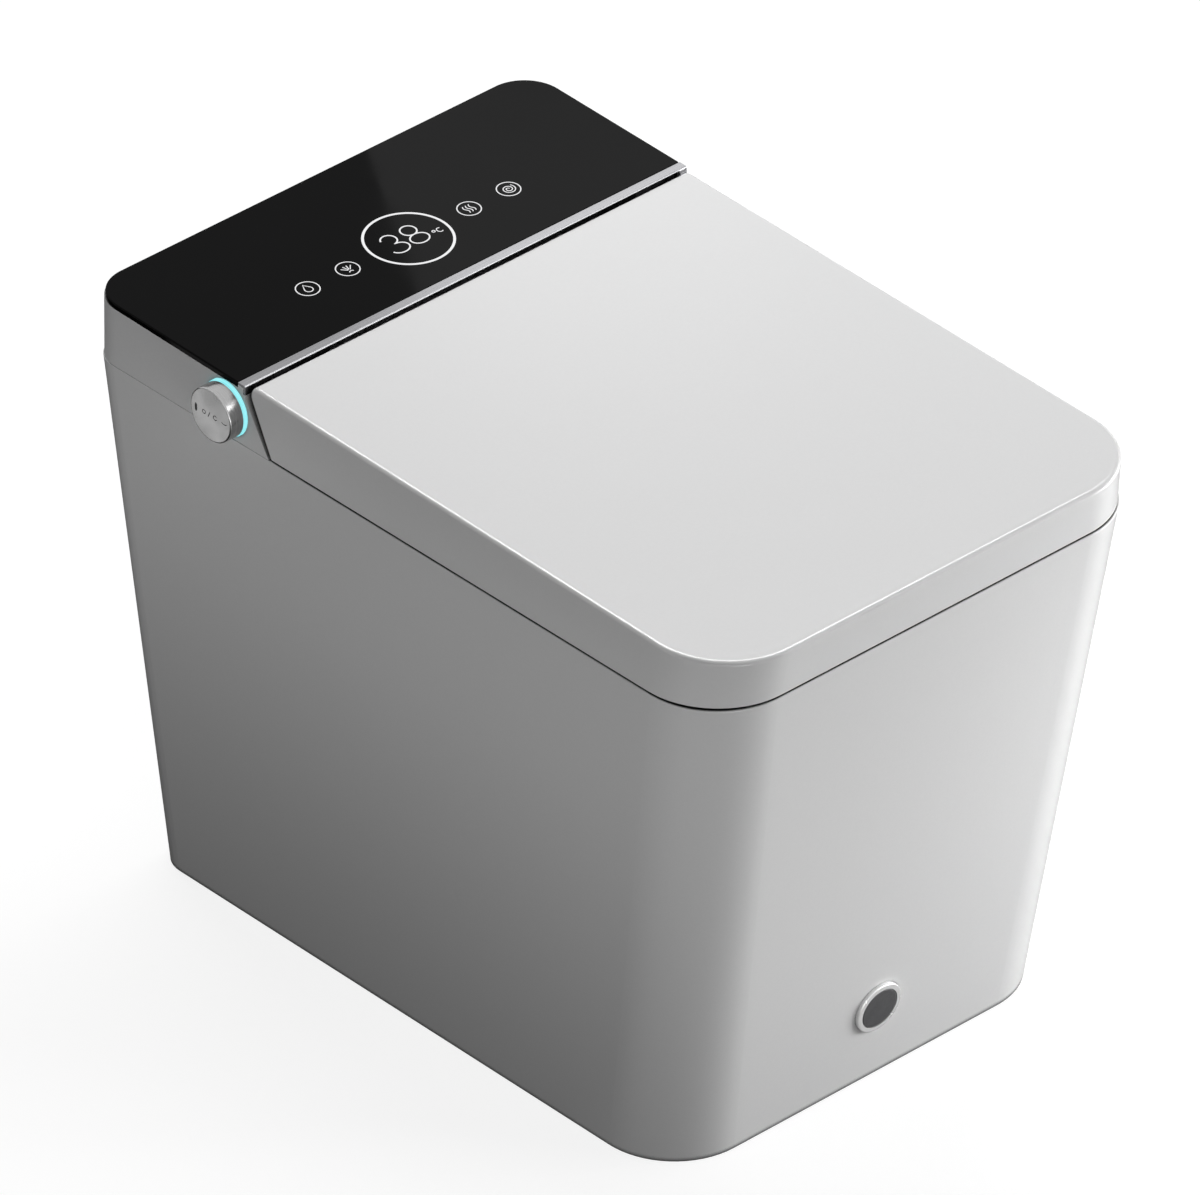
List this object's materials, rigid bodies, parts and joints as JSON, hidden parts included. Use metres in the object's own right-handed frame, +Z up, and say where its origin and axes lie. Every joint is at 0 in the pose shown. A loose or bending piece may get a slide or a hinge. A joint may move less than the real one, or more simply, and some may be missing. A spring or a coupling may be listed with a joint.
{
  "type": "smart toilet",
  "caption": "Floor-standing tankless smart toilet with a hinged lid and seat, black glass control top, side knob, foot flush button and washing wand.",
  "frame": {"origin": "centre of the drain outlet at floor level", "axes": "+Z up, front faces -Y, rear (wall side) towards +Y, +X is on the right seen from the front"},
  "size_m": [0.4156, 0.622, 0.4551],
  "materials": {
    "ceramic": "white vitreous glaze",
    "lid_plastic": "white moulded plastic, fine satin gloss",
    "seat_plastic": "white moulded plastic, gloss",
    "casing_plastic": "pale grey moulded plastic, satin",
    "black_glass": "black back-painted glass",
    "plated_trim": "silver plating, bright",
    "brushed_knob": "brushed steel, turned face",
    "light_ring": "translucent ring lit from behind",
    "foot_pad": "dark soft-touch disc",
    "foot_ring": "white gloss ring",
    "steel": "ground steel",
    "rubber_pad": "grey rubber",
    "black_rubber": "black rubber",
    "works_plastic": "dark grey moulded plastic",
    "white_plastic": "white moulded plastic",
    "dark_window": "dark infrared window",
    "board": "green circuit board",
    "motor_metal": "coated motor can",
    "cast_metal": "cast aluminium",
    "brass_fitting": "turned brass",
    "heater_foil": "foil heater mat"
  },
  "bodies": {
    "root": {"ceramic_body": "ceramic", "ceramic_rim": "ceramic", "ceramic_bowl": "ceramic", "ceramic_trap": "ceramic", "drain_seal": "black_rubber", "works_tray": "white_plastic", "rear_casing": "casing_plastic", "top_glass": "black_glass", "trim_strip": "plated_trim", "display_board": "board", "seat_sensor_window": "dark_window", "hinge_pins": "steel", "seat_damper": "works_plastic", "lid_damper": "works_plastic", "knob_light_ring": "light_ring", "knob_spring": "steel", "encoder_housing": "works_plastic", "foot_bezel": "foot_ring", "foot_spring": "black_rubber", "foot_switch_housing": "works_plastic", "nozzle_housing": "white_plastic", "nozzle_motor": "motor_metal", "water_heater": "cast_metal", "booster_pump": "motor_metal", "inlet_valve": "brass_fitting", "inlet_filter": "white_plastic", "diverter_valve": "white_plastic", "diverter_motor": "motor_metal", "air_pump": "works_plastic", "deodoriser": "works_plastic", "dryer_fan": "works_plastic", "dryer_duct": "works_plastic", "control_board": "board", "power_supply": "cast_metal", "flush_valve": "works_plastic", "jet_pipe": "white_plastic", "cable_gland": "works_plastic"},
    "seat": {"seat_cover": "seat_plastic", "seat_plate": "seat_plastic", "seat_heater": "heater_foil", "seat_bumpers": "rubber_pad"},
    "lid": {"lid_shell": "lid_plastic", "lid_liner": "lid_plastic", "lid_bumpers": "rubber_pad"},
    "knob_stem": {"knob_shaft": "steel"},
    "knob": {"knob_cap": "brushed_knob"},
    "foot_pad": {"foot_button": "foot_pad"},
    "wash_wand": {"nozzle_wand": "white_plastic", "nozzle_tip": "steel"},
    "fan_wheel": {"dryer_impeller": "works_plastic"}
  },
  "joints": [
    {"name": "seat_hinge", "type": "hinge", "parent": "root", "child": "seat", "pos_m": [0, 0.1273, 0.44508], "axis": [-1, 0, 0], "range_deg": [0, 90]},
    {"name": "lid_hinge", "type": "hinge", "parent": "seat", "child": "lid", "pos_m": [0, 0.1273, 0.44508], "axis": [1, 0, 0], "range_deg": [-95, 0]},
    {"name": "knob_press", "type": "slide", "parent": "root", "child": "knob_stem", "axis": [1, 0, 0], "range_m": [0, 0.0015], "stiffness_N_per_m": 600, "deforming": ["knob_spring"]},
    {"name": "knob_turn", "type": "hinge", "parent": "knob_stem", "child": "knob", "pos_m": [-0.208, 0.154, 0.427], "axis": [-1, 0, 0], "continuous": true},
    {"name": "foot_press", "type": "slide", "parent": "root", "child": "foot_pad", "axis": [0, 0.9883, 0.1528], "range_m": [0, 0.0035], "stiffness_N_per_m": 1200, "deforming": ["foot_spring"]},
    {"name": "wand_slide", "type": "slide", "parent": "root", "child": "wash_wand", "axis": [0, -0.9397, -0.342], "range_m": [0, 0.09]},
    {"name": "impeller_spin", "type": "hinge", "parent": "root", "child": "fan_wheel", "pos_m": [0.057, 0.166, 0.37], "axis": [0, 0, 1], "continuous": true}
  ]
}
